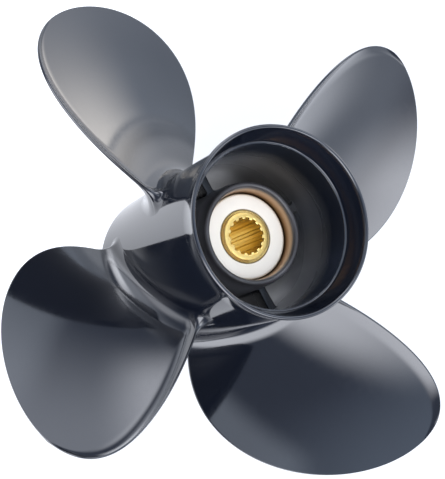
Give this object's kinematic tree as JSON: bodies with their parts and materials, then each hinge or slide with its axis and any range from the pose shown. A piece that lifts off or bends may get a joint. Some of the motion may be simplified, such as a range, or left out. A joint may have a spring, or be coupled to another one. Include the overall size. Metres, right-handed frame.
{
  "type": "outboard boat propeller",
  "caption": "Bladed right-hand outboard propeller with a through-hub exhaust barrel, ribbed inner hub, pressed bushing and splined sleeve.",
  "frame": {"origin": "centre of the barrel's front rim, on the shaft axis", "axes": "+Z along the shaft axis from the front rim to the flared rear rim; -Y towards the blade that is nearest the camera in the picture"},
  "size_m": [0.3564, 0.3564, 0.17],
  "materials": {
    "hub_barrel": "gloss",
    "inner_hub": "gloss",
    "ribs": "gloss",
    "blades": "gloss",
    "bushing": "satin",
    "spline_sleeve": "machined"
  },
  "bodies": {
    "root": {"hub_barrel": "hub_barrel", "inner_hub": "inner_hub", "rib_1": "ribs", "rib_2": "ribs", "rib_3": "ribs", "rib_4": "ribs", "blade_1": "blades", "blade_2": "blades", "blade_3": "blades", "blade_4": "blades", "bushing": "bushing", "spline_sleeve": "spline_sleeve"}
  },
  "joints": []
}
